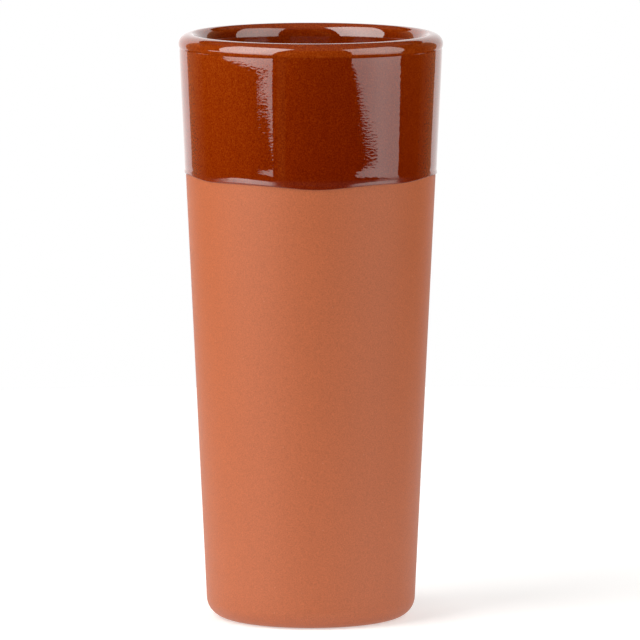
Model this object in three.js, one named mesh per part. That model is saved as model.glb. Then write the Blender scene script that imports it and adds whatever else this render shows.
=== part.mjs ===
// A tall tapered terracotta pot: a bare clay body, a glossy glaze band dipped over its rim, and a glaze
// lining poured inside it. Millimetres, +Z up, with the origin at the centre of the foot.
import * as THREE from "three";

// The clay's outside
const HEIGHT = 250; // foot to the top of the glazed lip
const FOOT_RADIUS = 44.2; // outside wall carried straight down to the foot's height
const RIM_RADIUS = 56; // outside wall carried straight up to HEIGHT
const HEEL_ROUND = 8.4; // rounding between the wall and the underside
const NECK_HEIGHT = HEIGHT - 5.65; // crease where the straight wall meets the slightly swollen lip

// The clay's lip: a quarter of an oval on each side of its crest
const CREST_RADIUS = 51.2;
const LIP_OUT = 4.75; // crest to the lip's widest point, across
const LIP_OUT_DROP = 4.05; // the same, down
const LIP_IN = 3.65; // crest to the inside wall, across
const LIP_IN_DROP = 5.65; // the same, down
const LIP_TUCK = Math.PI / 18; // how far the outer oval runs on under its widest point

// The clay's inside and underside
const INSIDE_FOOT_RADIUS = 36.2; // inside wall carried straight down to the foot's height
const INSIDE_RIM_RADIUS = 47.8; // inside wall carried straight up to HEIGHT
const FLOOR_HEIGHT = 10; // foot to the clay floor inside
const FLOOR_ROUND = 10; // rounding between the floor and the inside wall
const FOOT_RING_INNER = 28; // inner edge of the flat ring that the pot stands on
const RECESS_RADIUS = 25; // flat part of the shallow hollow inside that ring
const RECESS_DEPTH = 1.5;

// The glaze
const GLAZE = 0.35; // thickness of the fired coat
const BOND_GAP = 0.05; // clearance that keeps the clay and its two coats separate solids
const DIP_LINE = 190; // mean height of the band's lower edge
const BEAD = 0.55; // thickness of the roll where the glaze stopped running
const BEAD_EDGE = 0.35; // height over which the roll springs from the clay
const BEAD_RISE = 1.2; // height from the edge to the thickest part of the roll
const BEAD_HEIGHT = 5; // height of the whole roll
const DIP_FADE = 12; // height above the roll over which the wandering of the edge dies away
const BAND_INSIDE_END = HEIGHT - 8; // how far down the inside the dipped band reaches

// Where the glaze ran lower (+) or stopped higher (-) than DIP_LINE: degrees from -Y towards +X, mm, half width.
const GLAZE_RUNS = [
  [3, 1.5, 17],
  [47, 0.3, 9],
  [72, -0.6, 13],
  [112, 0.9, 18],
  [156, -0.6, 16],
  [-165, 1.2, 15],
  [-118, 0.5, 20],
  [-75, -0.7, 14],
  [-52, 0.35, 10],
];

// Facets
const AROUND = 60; // round the pot
const LIP_OUTER_STEPS = 5;
const LIP_INNER_STEPS = 4;
const HEEL_STEPS = 4;
const FLOOR_STEPS = 4;

const CLAY = new THREE.MeshStandardMaterial({ color: 0xc4683f, roughness: 0.75, metalness: 0 });
const HONEY_GLAZE = new THREE.MeshStandardMaterial({ color: 0x8a2f08, roughness: 0.12, metalness: 0 });

const WALL_SLOPE = (RIM_RADIUS - FOOT_RADIUS) / HEIGHT;
const INSIDE_SLOPE = (INSIDE_RIM_RADIUS - INSIDE_FOOT_RADIUS) / HEIGHT;
const WALL_LEAN = Math.atan(WALL_SLOPE);
const INSIDE_LEAN = Math.atan(INSIDE_SLOPE);
const CLAY_TOP = HEIGHT - GLAZE;

// A profile point is (radius from the pot's axis, height). Distances are measured square to the clay's surface.

function onOutside(height, distance) {
  return new THREE.Vector2(FOOT_RADIUS + WALL_SLOPE * height + distance / Math.cos(WALL_LEAN), height);
}

function onInside(height, distance) {
  return new THREE.Vector2(INSIDE_FOOT_RADIUS + INSIDE_SLOPE * height - distance / Math.cos(INSIDE_LEAN), height);
}

function oval(centre, across, upright, from, to, steps) {
  return Array.from({ length: steps + 1 }, (_, i) => {
    const angle = from + ((to - from) * i) / steps;
    return new THREE.Vector2(centre.x + across * Math.cos(angle), centre.y + upright * Math.sin(angle));
  });
}

function arc(centre, radius, from, to, steps) {
  return oval(centre, radius, radius, from, to, steps);
}

// The underside and heel, from the axis out to the wall.
function underside() {
  const heel = onOutside(HEEL_ROUND, -HEEL_ROUND);
  return [
    new THREE.Vector2(0, RECESS_DEPTH),
    new THREE.Vector2(RECESS_RADIUS, RECESS_DEPTH),
    new THREE.Vector2(FOOT_RING_INNER, 0),
    ...arc(heel, HEEL_ROUND, -Math.PI / 2, -WALL_LEAN, HEEL_STEPS),
  ];
}

// The neck and lip, from the outside wall over the crest to the inside wall.
function lip(distance) {
  const outer = new THREE.Vector2(CREST_RADIUS, CLAY_TOP - LIP_OUT_DROP);
  const inner = new THREE.Vector2(CREST_RADIUS, CLAY_TOP - LIP_IN_DROP);
  const outside = [outer, LIP_OUT + distance, LIP_OUT_DROP + distance];
  const inside = [inner, LIP_IN + distance, LIP_IN_DROP + distance];
  return [
    onOutside(NECK_HEIGHT, distance),
    ...oval(...outside, -LIP_TUCK, Math.PI / 2, LIP_OUTER_STEPS),
    ...oval(...inside, Math.PI / 2, Math.PI, LIP_INNER_STEPS).slice(1),
  ];
}

// The inside, from a height on its wall down to the floor and in to the axis.
function insideBelow(height, distance) {
  const corner = onInside(FLOOR_HEIGHT + FLOOR_ROUND, FLOOR_ROUND);
  return [
    onInside(height, distance),
    ...arc(corner, FLOOR_ROUND - distance, -INSIDE_LEAN, -Math.PI / 2, FLOOR_STEPS),
    new THREE.Vector2(0, FLOOR_HEIGHT + distance),
  ];
}

function turned(name, profile, material) {
  const mesh = new THREE.Mesh(new THREE.LatheGeometry(profile, AROUND), material);
  mesh.name = name;
  mesh.rotation.x = Math.PI / 2; // a lathe turns about its own Y
  return mesh;
}

function clayBody() {
  return turned("clay_body", [...underside(), ...lip(0), ...insideBelow(BAND_INSIDE_END, 0)], CLAY);
}

// How far below DIP_LINE the glaze ran at an angle round the pot.
function glazeRun(degrees) {
  return GLAZE_RUNS.reduce((run, [middle, depth, halfWidth]) => {
    const away = ((degrees - middle + 540) % 360) - 180;
    return run + depth * Math.exp(-((away / halfWidth) ** 2));
  }, 0);
}

// Slides the band's lower edge along the wall, so that it wanders as a dipped edge does.
function wander(mesh) {
  const position = mesh.geometry.getAttribute("position");
  for (let i = 0; i < position.count; i++) {
    const point = new THREE.Vector3().fromBufferAttribute(position, i);
    const share = THREE.MathUtils.clamp(1 - (point.y - DIP_LINE - BEAD_HEIGHT) / DIP_FADE, 0, 1);
    const drop = share * glazeRun(THREE.MathUtils.radToDeg(Math.atan2(point.x, point.z)));
    const shrink = 1 - (drop * WALL_SLOPE) / Math.hypot(point.x, point.z);
    position.setXYZ(i, point.x * shrink, point.y - drop, point.z * shrink);
  }
  return mesh;
}

function dippedGlazeBand() {
  const edge = onOutside(DIP_LINE, BOND_GAP);
  const surface = [
    edge,
    onOutside(DIP_LINE + BEAD_EDGE, GLAZE),
    onOutside(DIP_LINE + BEAD_RISE, BEAD),
    onOutside(DIP_LINE + BEAD_HEIGHT, GLAZE),
    onOutside(DIP_LINE + BEAD_HEIGHT + DIP_FADE, GLAZE),
    ...lip(GLAZE),
    onInside(BAND_INSIDE_END, GLAZE),
  ];
  const bond = [
    onOutside(DIP_LINE + BEAD_HEIGHT + DIP_FADE, BOND_GAP),
    ...lip(BOND_GAP),
    onInside(BAND_INSIDE_END, BOND_GAP),
  ];
  return wander(turned("dipped_glaze_band", [...surface, ...bond.reverse(), edge], HONEY_GLAZE));
}

function pouredGlazeLining() {
  const top = BAND_INSIDE_END - BOND_GAP;
  const profile = [...insideBelow(top, BOND_GAP).reverse(), ...insideBelow(top, GLAZE)];
  return turned("poured_glaze_lining", profile, HONEY_GLAZE);
}

const pot = new THREE.Group();
pot.add(clayBody(), dippedGlazeBand(), pouredGlazeLining());

export default pot;
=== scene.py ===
"""A tall tapered terracotta pot: bare fired clay below, a glossy red-brown glaze dipped over the rim."""

import math

import bpy
from mathutils import Matrix, Vector


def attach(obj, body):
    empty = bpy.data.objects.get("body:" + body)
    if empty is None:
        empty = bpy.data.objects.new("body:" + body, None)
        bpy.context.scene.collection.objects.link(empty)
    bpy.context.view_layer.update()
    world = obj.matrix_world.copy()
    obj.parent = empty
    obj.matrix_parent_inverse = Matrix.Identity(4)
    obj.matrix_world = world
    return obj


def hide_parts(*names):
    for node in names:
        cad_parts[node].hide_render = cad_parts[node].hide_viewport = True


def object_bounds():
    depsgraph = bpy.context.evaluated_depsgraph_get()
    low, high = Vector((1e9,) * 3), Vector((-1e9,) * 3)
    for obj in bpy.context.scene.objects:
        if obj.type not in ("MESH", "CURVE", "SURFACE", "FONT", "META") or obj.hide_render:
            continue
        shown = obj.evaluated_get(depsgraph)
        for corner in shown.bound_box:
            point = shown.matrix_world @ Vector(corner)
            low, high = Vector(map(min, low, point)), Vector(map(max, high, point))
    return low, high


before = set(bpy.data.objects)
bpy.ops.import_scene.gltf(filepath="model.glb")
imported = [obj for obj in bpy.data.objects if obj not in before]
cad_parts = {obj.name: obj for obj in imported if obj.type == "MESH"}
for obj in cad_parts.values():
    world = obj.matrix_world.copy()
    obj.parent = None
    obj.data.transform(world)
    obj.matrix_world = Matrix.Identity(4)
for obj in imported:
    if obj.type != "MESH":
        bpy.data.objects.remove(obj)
cad_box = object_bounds()

MM = 0.001

# ---------------------------------------------------------------- driving dimensions
HEIGHT = cad_box[1].z

# The clay's outside: a straight wall, carried down to the foot's height and up to HEIGHT
FOOT_RADIUS = 44.2 * MM
RIM_RADIUS = 56.0 * MM
HEEL_ROUND = 8.4 * MM
NECK_HEIGHT = HEIGHT - 5.65 * MM  # crease where the straight wall meets the slightly swollen lip

# The clay's lip: a quarter of an oval on each side of its crest
CREST_RADIUS = 51.2 * MM
LIP_OUT, LIP_OUT_DROP = 4.75 * MM, 4.05 * MM
LIP_IN, LIP_IN_DROP = 3.65 * MM, 5.65 * MM
LIP_TUCK = math.radians(10)  # how far the outer oval runs on under its widest point
GLAZED_TUCK = math.radians(22.5)  # the same, over the glaze

# The clay's inside and underside
INSIDE_FOOT_RADIUS = 36.2 * MM
INSIDE_RIM_RADIUS = 47.8 * MM
FLOOR_HEIGHT = 10 * MM
FLOOR_ROUND = 10 * MM
FOOT_RING_INNER = 28 * MM
RECESS_RADIUS = 25 * MM
RECESS_DEPTH = 1.5 * MM

# The glaze
GLAZE = 0.35 * MM  # thickness of the coat
BOND_GAP = 0.05 * MM  # between the coat and the clay
DIP_LINE = 190 * MM  # mean height of the band's lower edge
BAND_INSIDE_END = HEIGHT - 8 * MM
DIP_FADE_START, DIP_FADE_END = 8 * MM, 22 * MM  # above the edge, where its wandering dies away
GLAZED_NECK = HEIGHT - 6.08 * MM  # the crease under the glazed lip
NECK_SINK = 0.15 * MM  # how far the wall is drawn in there
NECK_FADE = 3.5 * MM

# The roll where the glaze stopped running: (height above the edge, thickness), both in mm
ROLL = [
    (0.0, 0.0),
    (0.05, 0.14),
    (0.15, 0.30),
    (0.25, 0.42),
    (0.33, 0.48),
    (0.40, 0.510),
    (0.47, 0.520),
    (0.56, 0.515),
    (1.10, 0.466),
    (1.60, 0.421),
    (2.00, 0.384),
    (2.40, 0.362),
    (3.20, 0.385),
    (4.20, 0.415),
    (5.00, 0.409),
    (6.00, 0.382),
    (7.00, 0.3575),
    (8.00, 0.35),
]
ROLL_REACH = 8 * MM

# The next three lists give swells round the pot: (degrees from -Y towards +X, size, half width in degrees)

# Where the roll is squatter (+) or taller (-), as a share of its height
SQUAT_ROLLS = [
    (5, 0.50, 20),
    (40, 0.45, 30),
    (150, 0.30, 30),
    (-140, 0.25, 25),
    (-55, 0.55, 10),
    (-36, -0.35, 11),
]

# Where the glaze sagged and stands thicker above the roll
SAGS = [(25, 0.075 * MM, 13), (-170, 0.05 * MM, 20)]
SAG_TOP, SAG_FULL = 9.8 * MM, 3.4 * MM  # above the edge, where a sag starts and where it is full

# Where the glaze ran lower (+) or stopped higher (-)
GLAZE_RUNS = [
    (3, 1.5 * MM, 17),
    (47, 0.3 * MM, 9),
    (72, -0.6 * MM, 13),
    (112, 0.9 * MM, 18),
    (156, -0.6 * MM, 16),
    (-165, 1.2 * MM, 15),
    (-118, 0.5 * MM, 20),
    (-75, -0.7 * MM, 14),
    (-52, 0.35 * MM, 10),
]

WALL_SLOPE = (RIM_RADIUS - FOOT_RADIUS) / HEIGHT
INSIDE_SLOPE = (INSIDE_RIM_RADIUS - INSIDE_FOOT_RADIUS) / HEIGHT
WALL_LEAN = math.atan(WALL_SLOPE)
INSIDE_LEAN = math.atan(INSIDE_SLOPE)
CLAY_TOP = HEIGHT - GLAZE

# Fineness of the meshes: facets round the pot, facets along a round, and the longest step along a profile
CLAY_AROUND = 384
BAND_AROUND = 440
LINING_AROUND = 256
HEEL_STEPS = 24
FLOOR_STEPS = 16
CLAY_LIP_STEPS = 16
BAND_LIP_STEPS = 36
BOND_LIP_STEPS = 8  # on the band's hidden face
CLAY_STEP = 3 * MM
LINING_STEP = 4 * MM
ROLL_STEP = 0.16 * MM
RIM_STEP = 1 * MM
FADE_ROWS = 7  # on the band's wall, where the edge's wandering dies away
WALL_ROWS = 30  # on the band's wall above that
WALL_CROWDING = 1.6  # over 1, those rows lie closer together towards the lip
SHARP_ANGLE = math.radians(35)


# ---------------------------------------------------------------- profiles, as (radius, height)
def on_outside(height, distance=0.0):
    return FOOT_RADIUS + WALL_SLOPE * height + distance / math.cos(WALL_LEAN), height


def on_inside(height, distance=0.0):
    return INSIDE_FOOT_RADIUS + INSIDE_SLOPE * height - distance / math.cos(INSIDE_LEAN), height


def oval(centre, across, upright, start, end, steps):
    angles = [start + (end - start) * i / steps for i in range(steps + 1)]
    return [(centre[0] + across * math.cos(a), centre[1] + upright * math.sin(a)) for a in angles]


def underside():
    """The underside and heel, from the axis out to the wall."""
    heel = on_outside(HEEL_ROUND, -HEEL_ROUND)
    return [
        (0.0, RECESS_DEPTH),
        (RECESS_RADIUS, RECESS_DEPTH),
        (FOOT_RING_INNER, 0.0),
        *oval(heel, HEEL_ROUND, HEEL_ROUND, -math.pi / 2, -WALL_LEAN, HEEL_STEPS),
    ]


def lip(distance, steps, tuck=LIP_TUCK):
    """The lip, from its underside over the crest to the inside wall."""
    outer = (CREST_RADIUS, CLAY_TOP - LIP_OUT_DROP)
    inner = (CREST_RADIUS, CLAY_TOP - LIP_IN_DROP)
    outside = oval(outer, LIP_OUT + distance, LIP_OUT_DROP + distance, -tuck, math.pi / 2, steps)
    inside = oval(inner, LIP_IN + distance, LIP_IN_DROP + distance, math.pi / 2, math.pi, steps)
    return [*outside, *inside[1:]]


def inside_below(height, distance):
    """The inside, from a height on its wall down to the floor and in to the axis."""
    corner = on_inside(FLOOR_HEIGHT + FLOOR_ROUND, FLOOR_ROUND)
    radius = FLOOR_ROUND - distance
    return [
        on_inside(height, distance),
        *oval(corner, radius, radius, -INSIDE_LEAN, -math.pi / 2, FLOOR_STEPS),
        (0.0, FLOOR_HEIGHT + distance),
    ]


def smoothed(points, step):
    """A smooth curve through the points, cut into pieces about step long (Catmull-Rom)."""
    out = [points[0]]
    for i in range(len(points) - 1):
        p = [Vector(points[min(max(j, 0), len(points) - 1)]) for j in (i - 1, i, i + 1, i + 2)]
        n = max(1, math.ceil((p[2] - p[1]).length / step))
        for k in range(1, n + 1):
            t = k / n
            q = p[1] + 0.5 * t * (
                (p[2] - p[0])
                + t * (2 * p[0] - 5 * p[1] + 4 * p[2] - p[3])
                + t * t * (3 * p[1] - p[0] - 3 * p[2] + p[3])
            )
            out.append(tuple(q))
    return out


def subdivided(profile, step):
    """The profile with its long straight stretches cut into pieces no longer than step."""
    out = [profile[0]]
    for a, b in zip(profile, profile[1:]):
        n = max(1, math.ceil(math.dist(a, b) / step))
        out += [(a[0] + (b[0] - a[0]) * i / n, a[1] + (b[1] - a[1]) * i / n) for i in range(1, n + 1)]
    return out


def turned(name, profile, around, move=None):
    """A closed surface of revolution about Z. Its profile runs from the axis back to the axis, where it has
    poles, or from a point off the axis back to that point. move may shift each point as it is turned."""
    ring_shaped = profile[0][0] > 0
    points = profile[:-1] if ring_shaped else profile
    verts, rows = [], []
    for radius, height in points:
        if radius == 0:
            rows.append([len(verts)] * around)
            verts.append((0.0, 0.0, height))
            continue
        rows.append(range(len(verts), len(verts) + around))
        for i in range(around):
            turn = 2 * math.pi * i / around
            r, z = move(radius, height, turn) if move else (radius, height)
            verts.append((r * math.sin(turn), -r * math.cos(turn), z))
    pairs = list(zip(rows, rows[1:])) + ([(rows[-1], rows[0])] if ring_shaped else [])
    faces = []
    for low, high in pairs:
        for i in range(around):
            j = (i + 1) % around
            corners = [low[i], low[j], high[j], high[i]]
            faces.append(list(dict.fromkeys(corners)))
    mesh = bpy.data.meshes.new(name)
    mesh.from_pydata(verts, [], faces)
    mesh.validate()
    mesh.shade_smooth()
    mesh.set_sharp_from_angle(angle=SHARP_ANGLE)
    obj = bpy.data.objects.new(name, mesh)
    bpy.context.scene.collection.objects.link(obj)
    return obj


def around_pot(swells, turn):
    """The sum of the swells (middle, size, half width) at an angle round the pot."""
    degrees = math.degrees(turn)
    value = 0.0
    for middle, size, half_width in swells:
        away = (degrees - middle + 540) % 360 - 180
        value += size * math.exp(-((away / half_width) ** 2))
    return value


def wander(radius, height, turn):
    """Moves a point of the band down the wall with the glaze's runs, squashes its roll and adds the sags."""
    above = (height - DIP_LINE - DIP_FADE_START) / (DIP_FADE_END - DIP_FADE_START)
    share = min(1.0, max(0.0, 1 - above))
    drop = share * around_pot(GLAZE_RUNS, turn)
    rise = height - DIP_LINE
    if 0 < rise < ROLL_REACH:
        lost = (1 - rise / ROLL_REACH) * around_pot(SQUAT_ROLLS, turn)
        drop += rise * lost
        radius -= max(0.0, radius - on_outside(height, GLAZE)[0]) * lost
    if 0 < rise < SAG_TOP:
        down = min(1.0, (SAG_TOP - rise) / (SAG_TOP - SAG_FULL))
        sag = around_pot(SAGS, turn) * down * down * (3 - 2 * down)
        # The coat's outer face takes all of the sag, and its hidden face none
        radius += sag * min(1.0, max(0.0, radius - on_outside(height, BOND_GAP)[0]) / GLAZE)
    return radius - drop * WALL_SLOPE, height - drop


# ---------------------------------------------------------------- pieces
def clay_body():
    lip_and_inside = [*lip(0, CLAY_LIP_STEPS), *inside_below(BAND_INSIDE_END, 0)]
    profile = [*underside(), on_outside(NECK_HEIGHT), *lip_and_inside]
    return turned("Clay_body", subdivided(profile, CLAY_STEP), CLAY_AROUND)


def glazed_wall(height):
    """The band's straight wall, drawn in a little towards the crease under the lip."""
    sink = NECK_SINK * math.exp(-(GLAZED_NECK - height) / NECK_FADE)
    return on_outside(height, GLAZE - sink)


def glaze_band():
    """The dipped coat: its outer face from the roll up and over the lip, then its hidden face back down."""
    roll = [on_outside(DIP_LINE + rise * MM, thickness * MM) for rise, thickness in ROLL]
    fade_start = DIP_LINE + DIP_FADE_START
    fade_end = DIP_LINE + DIP_FADE_END
    fade_span = DIP_FADE_END - DIP_FADE_START
    low = [fade_start + fade_span * i / FADE_ROWS for i in range(1, FADE_ROWS + 1)]
    still_up = [(1 - i / WALL_ROWS) ** WALL_CROWDING for i in range(1, WALL_ROWS + 1)]
    high = [GLAZED_NECK - (GLAZED_NECK - fade_end) * share for share in still_up]
    wall = [glazed_wall(height) for height in (*low, *high)]
    rim = [*lip(GLAZE, BAND_LIP_STEPS, GLAZED_TUCK), on_inside(BAND_INSIDE_END, GLAZE)]
    surface = [*smoothed(roll, ROLL_STEP), *wall, *subdivided(rim, RIM_STEP)]
    bond = [
        on_inside(BAND_INSIDE_END, BOND_GAP),
        *reversed(lip(BOND_GAP, BOND_LIP_STEPS)),
        on_outside(NECK_HEIGHT, BOND_GAP),
        on_outside(fade_end, BOND_GAP),
        on_outside(fade_start, BOND_GAP),
        roll[0],
    ]
    return turned("Dipped_glaze_band", [*surface, *bond], BAND_AROUND, wander)


def glaze_lining():
    bond = [*reversed(inside_below(BAND_INSIDE_END, BOND_GAP))]
    profile = [*bond, *inside_below(BAND_INSIDE_END, GLAZE)]
    return turned("Poured_glaze_lining", subdivided(profile, LINING_STEP), LINING_AROUND)


# ---------------------------------------------------------------- node helpers
MIX_SHARE, MIX_FIRST_COLOUR, MIX_SECOND_COLOUR, MIX_COLOUR_OUT = 0, 6, 7, 2  # a Mix node's colour sockets
NOISE_SHIFT = (1, 1.7, 0.6)  # where a seed of 1 moves a noise
SPECK_SHIFT = (1, 0.3, 2.1)  # where a seed of 1 moves the cells of specks


def add(tree, kind, inputs=None, **settings):
    """A new node. Each input is another node's socket, which is linked, or a value."""
    node = tree.nodes.new("ShaderNode" + kind)
    for name, value in settings.items():
        setattr(node, name, value)
    for name, value in (inputs or {}).items():
        if isinstance(value, bpy.types.NodeSocket):
            tree.links.new(value, node.inputs[name])
        else:
            node.inputs[name].default_value = value
    return node


def calc(tree, operation, *values, clamp=False):
    return add(tree, "Math", dict(enumerate(values)), operation=operation, use_clamp=clamp).outputs[0]


def total(tree, first, *rest):
    for value in rest:
        first = calc(tree, "ADD", first, value)
    return first


def scaled(tree, value, factor):
    return calc(tree, "MULTIPLY", value, factor)


def vector_calc(tree, operation, *values, result=0):
    return add(tree, "VectorMath", dict(enumerate(values)), operation=operation).outputs[result]


def mapped(tree, where, scale, seed, shift):
    moved = [seed * share for share in shift]
    return add(tree, "Mapping", {"Vector": where, "Scale": scale, "Location": moved}).outputs[0]


def noise(tree, where, size, stretch=(1, 1, 1), detail=2.0, seed=0.0):
    """Noise centred on zero, about -0.5 to 0.5. stretch lengthens its blobs along an axis."""
    moved = mapped(tree, where, [1 / (size * s) for s in stretch], seed, NOISE_SHIFT)
    cloud = add(tree, "TexNoise", {"Vector": moved, "Scale": 1.0, "Detail": detail})
    return calc(tree, "SUBTRACT", cloud.outputs[0], 0.5)


def specks(tree, where, spacing, radius, share, seed):
    """1 inside small round specks: one to a cell of the given spacing, in a share of the cells."""
    moved = mapped(tree, where, [1 / spacing] * 3, seed, SPECK_SHIFT)
    cells = add(tree, "TexVoronoi", {"Vector": moved, "Scale": 1.0})
    inside = fade(tree, cells.outputs["Distance"], radius / spacing, 0.5 * radius / spacing)
    lot = add(tree, "SeparateColor", {0: cells.outputs["Color"]}).outputs[0]
    return calc(tree, "MULTIPLY", inside, calc(tree, "LESS_THAN", lot, share))


def fade(tree, value, start, end, low=0.0, high=1.0):
    """low up to start, high from end on, and a smooth ramp between. start may lie above end."""
    ends = {"Value": value, "From Min": start, "From Max": end, "To Min": low, "To Max": high}
    return add(tree, "MapRange", ends, interpolation_type="SMOOTHSTEP").outputs[0]


def blend(tree, share, first, second):
    """The colour a share of the way from the first to the second."""
    node = add(tree, "Mix", data_type="RGBA", clamp_factor=True)
    for index, value in ((MIX_SHARE, share), (MIX_FIRST_COLOUR, first), (MIX_SECOND_COLOUR, second)):
        if isinstance(value, bpy.types.NodeSocket):
            tree.links.new(value, node.inputs[index])
        else:
            node.inputs[index].default_value = (*value, 1)
    return node.outputs[MIX_COLOUR_OUT]


def ramp(tree, value, stops):
    """The colour at a value from 0 to 1, between stops (position, colour) in rising order."""
    node = add(tree, "ValToRGB", {0: value})
    elements = node.color_ramp.elements
    elements.remove(elements[1])
    elements[0].position = stops[0][0]
    elements[0].color = (*stops[0][1], 1)
    for position, colour in stops[1:]:
        elements.new(position).color = (*colour, 1)
    return node.outputs[0]


def bump(tree, height, distance, normal=None):
    inputs = {"Height": height, "Strength": 1.0, "Distance": distance}
    if normal:
        inputs["Normal"] = normal
    return add(tree, "Bump", inputs).outputs[0]


def new_material(name):
    material = bpy.data.materials.new(name)
    material.use_nodes = True
    tree = material.node_tree
    tree.nodes.clear()
    shader = add(tree, "BsdfPrincipled")
    add(tree, "OutputMaterial", {"Surface": shader.outputs[0]})
    where = add(tree, "TexCoord").outputs["Object"]
    return material, tree, shader, where


# ---------------------------------------------------------------- clay
CLAY_COLOUR = (0.395, 0.0972, 0.0300)
CLAY_DARK, CLAY_LIGHT = 0.76, 1.24  # shares of CLAY_COLOUR, between which the unevenness moves it
CLAY_ROUGHNESS, CLAY_ROUGHNESS_SWING = 0.51, 0.06
CLAY_IOR, CLAY_SHEEN = 1.45, 0.6
CLAY_RELIEF = 0.012 * MM

# Kinds of unevenness: size of the blobs, and how far they move the colour from dark to light
CLAY_CLOUDS, CLAY_CLOUD_TINT = 14 * MM, 0.09
CLAY_MOTTLING, CLAY_MOTTLING_TINT = 3.2 * MM, 0.06
CLAY_GRAIN, CLAY_GRAIN_TINT = 0.52 * MM, 1.75
TURNING_MARKS, TURNING_TINT = 0.9 * MM, 0.06
TURNING_STRETCH = (30, 30, 1)
TURNING_RELIEF = 0.6  # as a share of CLAY_RELIEF, like the two below

# Pale grits and pits: distance between them, radius, and the share of those places that have one
GRIT_SPACING, GRIT_RADIUS, GRIT_SHARE = 4.2 * MM, 0.34 * MM, 0.45
GRIT_TINT, GRIT_COLOUR, GRIT_RELIEF = 0.24, (0.62, 0.30, 0.17), 0.5
PIT_SPACING, PIT_RADIUS, PIT_SHARE = 3.6 * MM, 0.30 * MM, 0.30
PIT_TINT, PIT_COLOUR, PIT_RELIEF = 0.28, (0.22, 0.05, 0.02), -1.5

# The foot, rubbed paler where it stands
WORN_TOP, WORN_FULL = 2.5 * MM, 0.2 * MM
WORN_TINT, WORN_COLOUR = 0.5, (0.52, 0.19, 0.095)


def shade_of(colour, factor):
    return tuple(channel * factor for channel in colour)


def clay_material():
    material, tree, shader, where = new_material("fired_clay")
    height = add(tree, "SeparateXYZ", {0: where}).outputs[2]
    clouds = noise(tree, where, CLAY_CLOUDS, detail=3, seed=3)
    mottling = noise(tree, where, CLAY_MOTTLING, detail=3, seed=5)
    grain = noise(tree, where, CLAY_GRAIN, detail=2, seed=9)
    turning = noise(tree, where, TURNING_MARKS, TURNING_STRETCH, detail=2, seed=13)
    grits = specks(tree, where, GRIT_SPACING, GRIT_RADIUS, GRIT_SHARE, seed=2)
    pits = specks(tree, where, PIT_SPACING, PIT_RADIUS, PIT_SHARE, seed=7)
    worn = fade(tree, height, WORN_TOP, WORN_FULL)

    light = total(
        tree,
        0.5,  # half way from dark to light
        scaled(tree, clouds, CLAY_CLOUD_TINT),
        scaled(tree, mottling, CLAY_MOTTLING_TINT),
        scaled(tree, grain, CLAY_GRAIN_TINT),
        scaled(tree, turning, TURNING_TINT),
    )
    colour = blend(tree, light, shade_of(CLAY_COLOUR, CLAY_DARK), shade_of(CLAY_COLOUR, CLAY_LIGHT))
    colour = blend(tree, scaled(tree, grits, GRIT_TINT), colour, GRIT_COLOUR)
    colour = blend(tree, scaled(tree, pits, PIT_TINT), colour, PIT_COLOUR)
    colour = blend(tree, scaled(tree, worn, WORN_TINT), colour, WORN_COLOUR)
    rough = calc(tree, "ADD", CLAY_ROUGHNESS, scaled(tree, mottling, CLAY_ROUGHNESS_SWING))
    relief = total(
        tree,
        grain,
        scaled(tree, turning, TURNING_RELIEF),
        scaled(tree, grits, GRIT_RELIEF),
        scaled(tree, pits, PIT_RELIEF),
    )
    tree.links.new(colour, shader.inputs["Base Color"])
    tree.links.new(rough, shader.inputs["Roughness"])
    tree.links.new(bump(tree, relief, CLAY_RELIEF), shader.inputs["Normal"])
    shader.inputs["IOR"].default_value = CLAY_IOR
    shader.inputs["Specular IOR Level"].default_value = CLAY_SHEEN
    return material


# ---------------------------------------------------------------- glaze
# The glaze is a clear brown glass over the clay, so its colour is the clay's, dimmed by its depth.
GLAZE_DIMMING = (1.0, 2.15, 5.6)
DEEPEST = 1.5
TINT_STEPS = 8
GLAZE_IOR = 1.8
GLAZE_ROUGHNESS, ROLL_ROUGHNESS = 0.025, 0.17
SMOOTH_FROM, ROUGH_TO = DIP_LINE + 3.2 * MM, DIP_LINE + 1.6 * MM  # heights of that change

# The glaze's depth up the wall: (height in mm, depth)
DEPTHS_UP_THE_WALL = [(190, 0.78), (212, 0.70), (230, 0.66), (241, 0.60), (250, 0.55)]
# Partly an uneven coat and partly painted light: the glaze is painted deeper, so darker, towards the front
# right, and thinner, so lighter, towards the left, where the key light falls.
POOLED_AND_SHADE_SIDE = math.radians(16)  # the side, from -Y towards +X, where the glaze is deepest and so painted darkest
POOLED_AND_SHADE_DEPTH = 0.33
POOLED_AND_SHADE_NARROWING = 4.0
LIP_DEPTH = 0.56
LIP_DEPTH_FROM, LIP_DEPTH_TO = NECK_HEIGHT - 0.6 * MM, NECK_HEIGHT + 0.8 * MM
# Painted shade: inside the mouth, where shade falls, the glaze is made deeper and so darker.
INSIDE_SHADE_DEPTH = 0.24
INSIDE_SHADE_FROM, INSIDE_SHADE_TO = CREST_RADIUS - 0.7 * LIP_IN, CREST_RADIUS - LIP_IN  # radii, between which the painted shade inside the mouth comes in

# Kinds of unevenness: size of the blobs, and how much deeper they make the glaze
GLAZE_STREAKS, STREAK_DEPTH = 2.4 * MM, 0.15
STREAK_STRETCH = (1, 1, 14)
GLAZE_MOTTLING, GLAZE_MOTTLING_DEPTH = 2.2 * MM, 0.12
GLAZE_SPECKLE, SPECKLE_DEPTH = 0.6 * MM, 1.25
IRON_SPACING, IRON_RADIUS, IRON_SHARE, IRON_DEPTH = 3.1 * MM, 0.26 * MM, 0.4, 0.16

# Its surface: fine ripples on a broad orange peel
RIPPLES, RIPPLE_HEIGHT = 0.85 * MM, 0.012 * MM
RIPPLE_STRETCH = (2.3, 2.3, 1)
PEEL, PEEL_HEIGHT = 7 * MM, 0.018 * MM
PEEL_STRETCH = (2, 2, 1)


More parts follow.
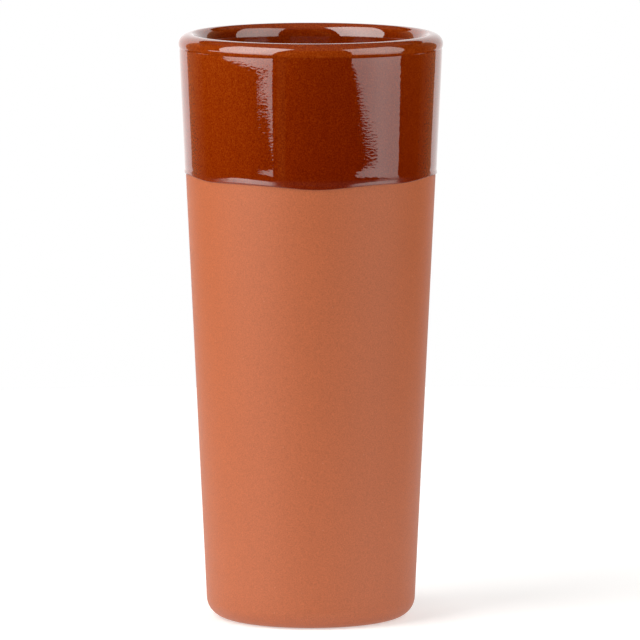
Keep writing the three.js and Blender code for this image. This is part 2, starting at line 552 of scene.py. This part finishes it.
def wall_depth(tree, where, height):
    """The glaze's depth on the wall: greater lower down, and greatest towards the front right, partly where
    more of it gathered and partly as painted shade, which leaves the key-lit left side lighter.
    """
    low, high = DEPTHS_UP_THE_WALL[0][0] * MM, DEPTHS_UP_THE_WALL[-1][0] * MM
    up = add(tree, "MapRange", {"Value": height, "From Min": low, "From Max": high}).outputs[0]
    stops = [((at * MM - low) / (high - low), (depth,) * 3) for at, depth in DEPTHS_UP_THE_WALL]
    outward = vector_calc(tree, "NORMALIZE", vector_calc(tree, "MULTIPLY", where, (1, 1, 0)))
    side = (math.sin(POOLED_AND_SHADE_SIDE), -math.cos(POOLED_AND_SHADE_SIDE), 0)
    facing = vector_calc(tree, "DOT_PRODUCT", outward, side, result="Value")
    # Painted shade in part: the deeper glaze darkens the front right and leaves the key-lit left lighter
    pooled_and_shade = calc(tree, "POWER", calc(tree, "MAXIMUM", facing, 0.0), POOLED_AND_SHADE_NARROWING)
    return calc(tree, "ADD", ramp(tree, up, stops), scaled(tree, pooled_and_shade, POOLED_AND_SHADE_DEPTH))


def glaze_depth(tree, where, height):
    on_lip = fade(tree, height, LIP_DEPTH_FROM, LIP_DEPTH_TO)
    ends = {0: on_lip, 2: wall_depth(tree, where, height), 3: LIP_DEPTH}
    broad = add(tree, "Mix", ends, data_type="FLOAT").outputs[0]
    level = vector_calc(tree, "MULTIPLY", where, (1, 1, 0))
    radius = vector_calc(tree, "LENGTH", level, result="Value")
    streaks = noise(tree, where, GLAZE_STREAKS, STREAK_STRETCH, detail=2, seed=21)
    mottling = noise(tree, where, GLAZE_MOTTLING, detail=3, seed=23)
    speckle = noise(tree, where, GLAZE_SPECKLE, detail=2, seed=27)
    iron = specks(tree, where, IRON_SPACING, IRON_RADIUS, IRON_SHARE, seed=31)
    return total(
        tree,
        broad,
        # painted shade inside the mouth
        fade(tree, radius, INSIDE_SHADE_FROM, INSIDE_SHADE_TO, 0.0, INSIDE_SHADE_DEPTH),
        scaled(tree, streaks, STREAK_DEPTH),
        scaled(tree, mottling, GLAZE_MOTTLING_DEPTH),
        scaled(tree, speckle, SPECKLE_DEPTH),
        scaled(tree, iron, IRON_DEPTH),
    )


def glaze_material():
    material, tree, shader, where = new_material("brown_glaze")
    height = add(tree, "SeparateXYZ", {0: where}).outputs[2]
    tints = []
    for i in range(TINT_STEPS + 1):
        depth = DEEPEST * i / TINT_STEPS
        tint = [c * math.exp(-k * depth) for c, k in zip(CLAY_COLOUR, GLAZE_DIMMING)]
        tints.append((i / TINT_STEPS, tint))
    depth_share = calc(tree, "DIVIDE", glaze_depth(tree, where, height), DEEPEST, clamp=True)
    ripples = noise(tree, where, RIPPLES, RIPPLE_STRETCH, detail=1, seed=41)
    peel = noise(tree, where, PEEL, PEEL_STRETCH, detail=1, seed=43)
    uneven = bump(tree, ripples, RIPPLE_HEIGHT, bump(tree, peel, PEEL_HEIGHT))
    rough = fade(tree, height, SMOOTH_FROM, ROUGH_TO, GLAZE_ROUGHNESS, ROLL_ROUGHNESS)
    tree.links.new(ramp(tree, depth_share, tints), shader.inputs["Base Color"])
    tree.links.new(rough, shader.inputs["Roughness"])
    tree.links.new(uneven, shader.inputs["Normal"])
    shader.inputs["IOR"].default_value = GLAZE_IOR
    return material


clay = clay_material()
glaze = glaze_material()
for piece, node, slot, material in [
    (clay_body(), "clay_body", "fired_clay", clay),
    (glaze_band(), "dipped_glaze_band", "brown_glaze", glaze),
    (glaze_lining(), "poured_glaze_lining", "brown_glaze", glaze),
]:
    piece.data.materials.append(material)
    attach(piece, "root")
    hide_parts(node)


# ---------------------------------------------------------------- studio helpers
WHITE = (1, 1, 1)


def staged(name, verts, faces, material, seen=False):
    mesh = bpy.data.meshes.new(name)
    mesh.from_pydata(verts, [], faces)
    mesh.materials.append(material)
    obj = bpy.data.objects.new(name, mesh)
    bpy.context.scene.collection.objects.link(obj)
    obj.visible_camera = seen
    return obj


def glow(name, strength=1.0, colour=WHITE):
    material = bpy.data.materials.new(name)
    material.use_nodes = True
    tree = material.node_tree
    tree.nodes.clear()
    shine = add(tree, "Emission", {"Strength": strength, "Color": (*colour, 1)})
    add(tree, "OutputMaterial", {"Surface": shine.outputs[0]})
    return material, tree, shine


# ---------------------------------------------------------------- softboxes in front, leaning over the pot
PANEL_LEAN = math.radians(32)
PANEL_AWAY = 0.9  # from the pot's axis to a panel's middle
PANEL_MIDDLE = 0.24  # height of a panel's middle
PANEL_DIM_TO, PANEL_BRIGHT_FROM = -0.30, 0.25  # up the panel from its middle
HOT_HALF_WIDTH = 0.22
LEFT_AZIMUTH, RIGHT_AZIMUTH = -57, 63  # degrees from -Y towards +X

# The panels' outlines, in metres rightward and up from each one's middle. The glazed wall mirrors their
# lower edges, which are masked unevenly, so that its highlights narrow and break up downwards.
LEFT_OUTLINE = [
    (-0.42, -0.125),
    (-0.34, -0.137),
    (-0.11, -0.151),
    (0.05, -0.163),
    (0.14, -0.173),
    (0.19, -0.186),
    (0.22, -0.190),
    (0.45, -0.195),
    (0.45, -0.211),
    (0.22, -0.208),
    (0.29, -0.212),
    (0.23, -0.216),
    (0.16, -0.220),
    (0.18, -0.226),
    (0.27, -0.233),
    (0.325, -0.239),
    (0.345, -0.247),
    (0.375, -0.258),
    (0.405, -0.272),
    (0.455, -0.290),
    (0.27, 1.0),
    (-0.42, 1.0),
    (-0.42, 0.05),
    (-0.80, 0.03),
    (-0.80, -0.085),
    (-0.42, -0.095),
]
WARM_OUTLINE = [(0.55, -0.40), (0.74, -0.42), (0.70, 0.9), (0.52, 0.9)]
RIGHT_OUTLINE = [
    (-0.52, -0.18),
    (-0.45, -0.21),
    (-0.41, -0.228),
    (-0.36, -0.238),
    (-0.27, -0.253),
    (-0.03, -0.262),
    (0.02, -0.33),
    (0.50, -0.36),
    (0.41, -0.23),
    (0.37, -0.15),
    (0.34, 0.82),
    (-0.25, 0.82),
]


def leaning_panel(azimuth):
    """Middle, rightward and upward directions of a panel that leans over the pot."""
    outward = Vector((math.sin(azimuth), -math.cos(azimuth), 0))
    upward = Vector((0, 0, math.cos(PANEL_LEAN))) - outward * math.sin(PANEL_LEAN)
    rightward = Vector((math.cos(azimuth), math.sin(azimuth), 0))
    return outward * PANEL_AWAY + Vector((0, 0, PANEL_MIDDLE)), rightward, upward


def softbox(name, azimuth, outline, low, high, hot, colour):
    """A flat shining panel. Its light rises from low at its lower edge to high, with a hotter middle."""
    middle, rightward, upward = leaning_panel(math.radians(azimuth))
    material, tree, shine = glow(name, colour=colour)
    where = add(tree, "TexCoord").outputs["Object"]
    parts = add(tree, "SeparateXYZ", {0: where})
    rise = fade(tree, parts.outputs[1], PANEL_DIM_TO, PANEL_BRIGHT_FROM, low, high)
    across = calc(tree, "POWER", calc(tree, "DIVIDE", parts.outputs[0], HOT_HALF_WIDTH), 2.0)
    hotter = scaled(tree, calc(tree, "EXPONENT", scaled(tree, across, -1.0)), hot)
    strength = calc(tree, "MULTIPLY", rise, calc(tree, "ADD", hotter, 1.0))
    tree.links.new(strength, shine.inputs["Strength"])
    obj = staged(name, [(u, v, 0) for u, v in outline], [range(len(outline))], material)
    facing = rightward.cross(upward)
    placed = [(rightward[i], upward[i], facing[i], middle[i]) for i in range(3)]
    obj.matrix_world = Matrix([*placed, (0, 0, 0, 1)])


softbox("Left_softbox", LEFT_AZIMUTH, LEFT_OUTLINE, 1.85, 3.9, hot=0.22, colour=(1, 0.975, 0.94))
softbox("Right_softbox", RIGHT_AZIMUTH, RIGHT_OUTLINE, 1.25, 2.15, hot=0.22, colour=(1, 0.97, 0.93))
softbox("Warm_strip", LEFT_AZIMUTH, WARM_OUTLINE, 0.16, 0.16, hot=0.0, colour=(1, 0.45, 0.12))

# ---------------------------------------------------------------- backdrop, with ever dimmer cards beside it
BACKDROP_RADIUS = 1.2
BACKDROP_FOOT, BACKDROP_TOP = -0.1, 0.95
BACKDROP_COLUMNS = 40
BACKDROP_RIGHT, BACKDROP_LEFT = 140, 223  # where it ends, in degrees from -Y towards +X
RIGHT_STRENGTH, LEFT_STRENGTH = 1.15, 1.3  # of its two halves
CARD_WIDTH = 4  # degrees
CARD_STRENGTHS = (0.32, 0.26, 0.20, 0.155, 0.11, 0.075, 0.045)
LEFT_CARD_GAIN = 1.3
CARD_COLOUR = (1, 0.68, 0.38)


def curved_sheet(name, start, end, strength, colour=WHITE):
    """An upright sheet on the backdrop's circle, between two angles from -Y towards +X."""
    span = end - start
    columns = [math.radians(start + span * i / BACKDROP_COLUMNS) for i in range(BACKDROP_COLUMNS + 1)]
    verts = [
        (BACKDROP_RADIUS * math.sin(a), -BACKDROP_RADIUS * math.cos(a), z)
        for a in columns
        for z in (BACKDROP_FOOT, BACKDROP_TOP)
    ]
    faces = [(2 * i, 2 * i + 1, 2 * i + 3, 2 * i + 2) for i in range(BACKDROP_COLUMNS)]
    staged(name, verts, faces, glow(name, strength, colour)[0])


curved_sheet("Backdrop_right", BACKDROP_RIGHT, 180, RIGHT_STRENGTH)
curved_sheet("Backdrop_left", 180, BACKDROP_LEFT, LEFT_STRENGTH)
for i, strength in enumerate(CARD_STRENGTHS):
    right, left = BACKDROP_RIGHT - CARD_WIDTH * i, BACKDROP_LEFT + CARD_WIDTH * i
    curved_sheet(f"Card_right_{i + 1}", right - CARD_WIDTH, right, strength, CARD_COLOUR)
    curved_sheet(f"Card_left_{i + 1}", left, left + CARD_WIDTH, LEFT_CARD_GAIN * strength, CARD_COLOUR)

# ---------------------------------------------------------------- floor, ceiling and world
PAPER_LEVEL = -0.05 * MM
PAPER_CORNERS = 96
PAPER_FRONT, PAPER_BACK = 0.24, 0.55  # reach of the paper that the glaze mirrors
FRONT_TO, BACK_FROM = -0.1, 0.6  # sines of the angles from +X towards +Y, between which that reach grows
PAPER_END = 0.75
PAPER_COLOUR = (0.69, 0.70, 0.705)
PAPER_ROUGHNESS = 0.9
PAPER_SHINE_NEAR, PAPER_SHINE, BEYOND_SHINE = 0.45, 0.54, 0.60
NEAR_REACH = 1.8 * FOOT_RADIUS
CEILING_REACH, CEILING_HEIGHT, CEILING_STRENGTH = 1.2, 1.5, 0.08
DARK_GREY = (0.003, 0.003, 0.003)


def paper(name, near_pot, shine):
    """White paper with a shine of its own, weaker close to the pot, which screens it from the lights."""
    material = bpy.data.materials.new(name)
    material.use_nodes = True
    tree = material.node_tree
    shader = tree.nodes["Principled BSDF"]
    where = add(tree, "TexCoord").outputs["Object"]
    away = vector_calc(tree, "LENGTH", where, result="Value")
    strength = fade(tree, away, FOOT_RADIUS, NEAR_REACH, near_pot, shine)
    tree.links.new(strength, shader.inputs["Emission Strength"])
    shader.inputs["Base Color"].default_value = (*PAPER_COLOUR, 1)
    shader.inputs["Roughness"].default_value = PAPER_ROUGHNESS
    shader.inputs["Specular IOR Level"].default_value = 0.0
    shader.inputs["Emission Color"].default_value = (*WHITE, 1)
    return material


def floor():
    """The paper round the pot, and a ring of it beyond, which the glaze doesn't mirror."""
    step = 2 * math.pi / PAPER_CORNERS
    inner, outer = [], []
    for i in range(PAPER_CORNERS):
        turn = i * step
        behind = min(1.0, max(0.0, (math.sin(turn) - FRONT_TO) / (BACK_FROM - FRONT_TO)))
        reach = PAPER_FRONT + (PAPER_BACK - PAPER_FRONT) * behind
        inner.append((reach * math.cos(turn), reach * math.sin(turn), PAPER_LEVEL))
        outer.append((PAPER_END * math.cos(turn), PAPER_END * math.sin(turn), PAPER_LEVEL))
    near = paper("Floor", PAPER_SHINE_NEAR, PAPER_SHINE)
    staged("Floor", inner, [range(PAPER_CORNERS)], near, seen=True)
    faces = []
    for i in range(PAPER_CORNERS):
        j = (i + 1) % PAPER_CORNERS
        faces.append((i, j, PAPER_CORNERS + j, PAPER_CORNERS + i))
    far = paper("Floor_beyond", BEYOND_SHINE, BEYOND_SHINE)
    beyond = staged("Floor_beyond", [*inner, *outer], faces, far, seen=True)
    beyond.visible_glossy = False


def ceiling():
    quarters = ((-1, -1), (1, -1), (1, 1), (-1, 1))
    corners = [(x * CEILING_REACH, y * CEILING_REACH, CEILING_HEIGHT) for x, y in quarters]
    staged("Ceiling", corners, [range(4)], glow("Ceiling", CEILING_STRENGTH)[0])


def studio_world():
    """White to the camera, and almost black to everything else."""
    world = bpy.data.worlds.new("Studio")
    bpy.context.scene.world = world
    world.use_nodes = True
    tree = world.node_tree
    tree.nodes.clear()
    seen = add(tree, "Background", {"Color": (*WHITE, 1)})
    unseen = add(tree, "Background", {"Color": (*DARK_GREY, 1)})
    path = add(tree, "LightPath")
    ends = {0: path.outputs["Is Camera Ray"], 1: unseen.outputs[0], 2: seen.outputs[0]}
    mixed = add(tree, "MixShader", ends)
    add(tree, "OutputWorld", {"Surface": mixed.outputs[0]})


floor()
ceiling()
studio_world()

# ---------------------------------------------------------------- camera
CAMERA_DISTANCE = 13.914 * HEIGHT
CAMERA_ELEVATION = math.radians(7.06)
CAMERA_PITCH = math.radians(7.025)
CAMERA_ASIDE = 3.93 * MM
FOCAL_LENGTH, SENSOR_WIDTH = 458.5, 36  # mm, as Blender has them
FARTHEST_SEEN = 20

camera = bpy.data.cameras.new("Camera")
camera.lens = FOCAL_LENGTH
camera.sensor_width = SENSOR_WIDTH
camera.clip_end = FARTHEST_SEEN
view = bpy.data.objects.new("Camera", camera)
view.location = (
    CAMERA_ASIDE,
    -CAMERA_DISTANCE * math.cos(CAMERA_ELEVATION),
    HEIGHT / 2 + CAMERA_DISTANCE * math.sin(CAMERA_ELEVATION),
)
view.rotation_euler = (math.pi / 2 - CAMERA_PITCH, 0, 0)
bpy.context.scene.collection.objects.link(view)
bpy.context.scene.camera = view
bpy.context.scene.view_settings.view_transform = "Standard"
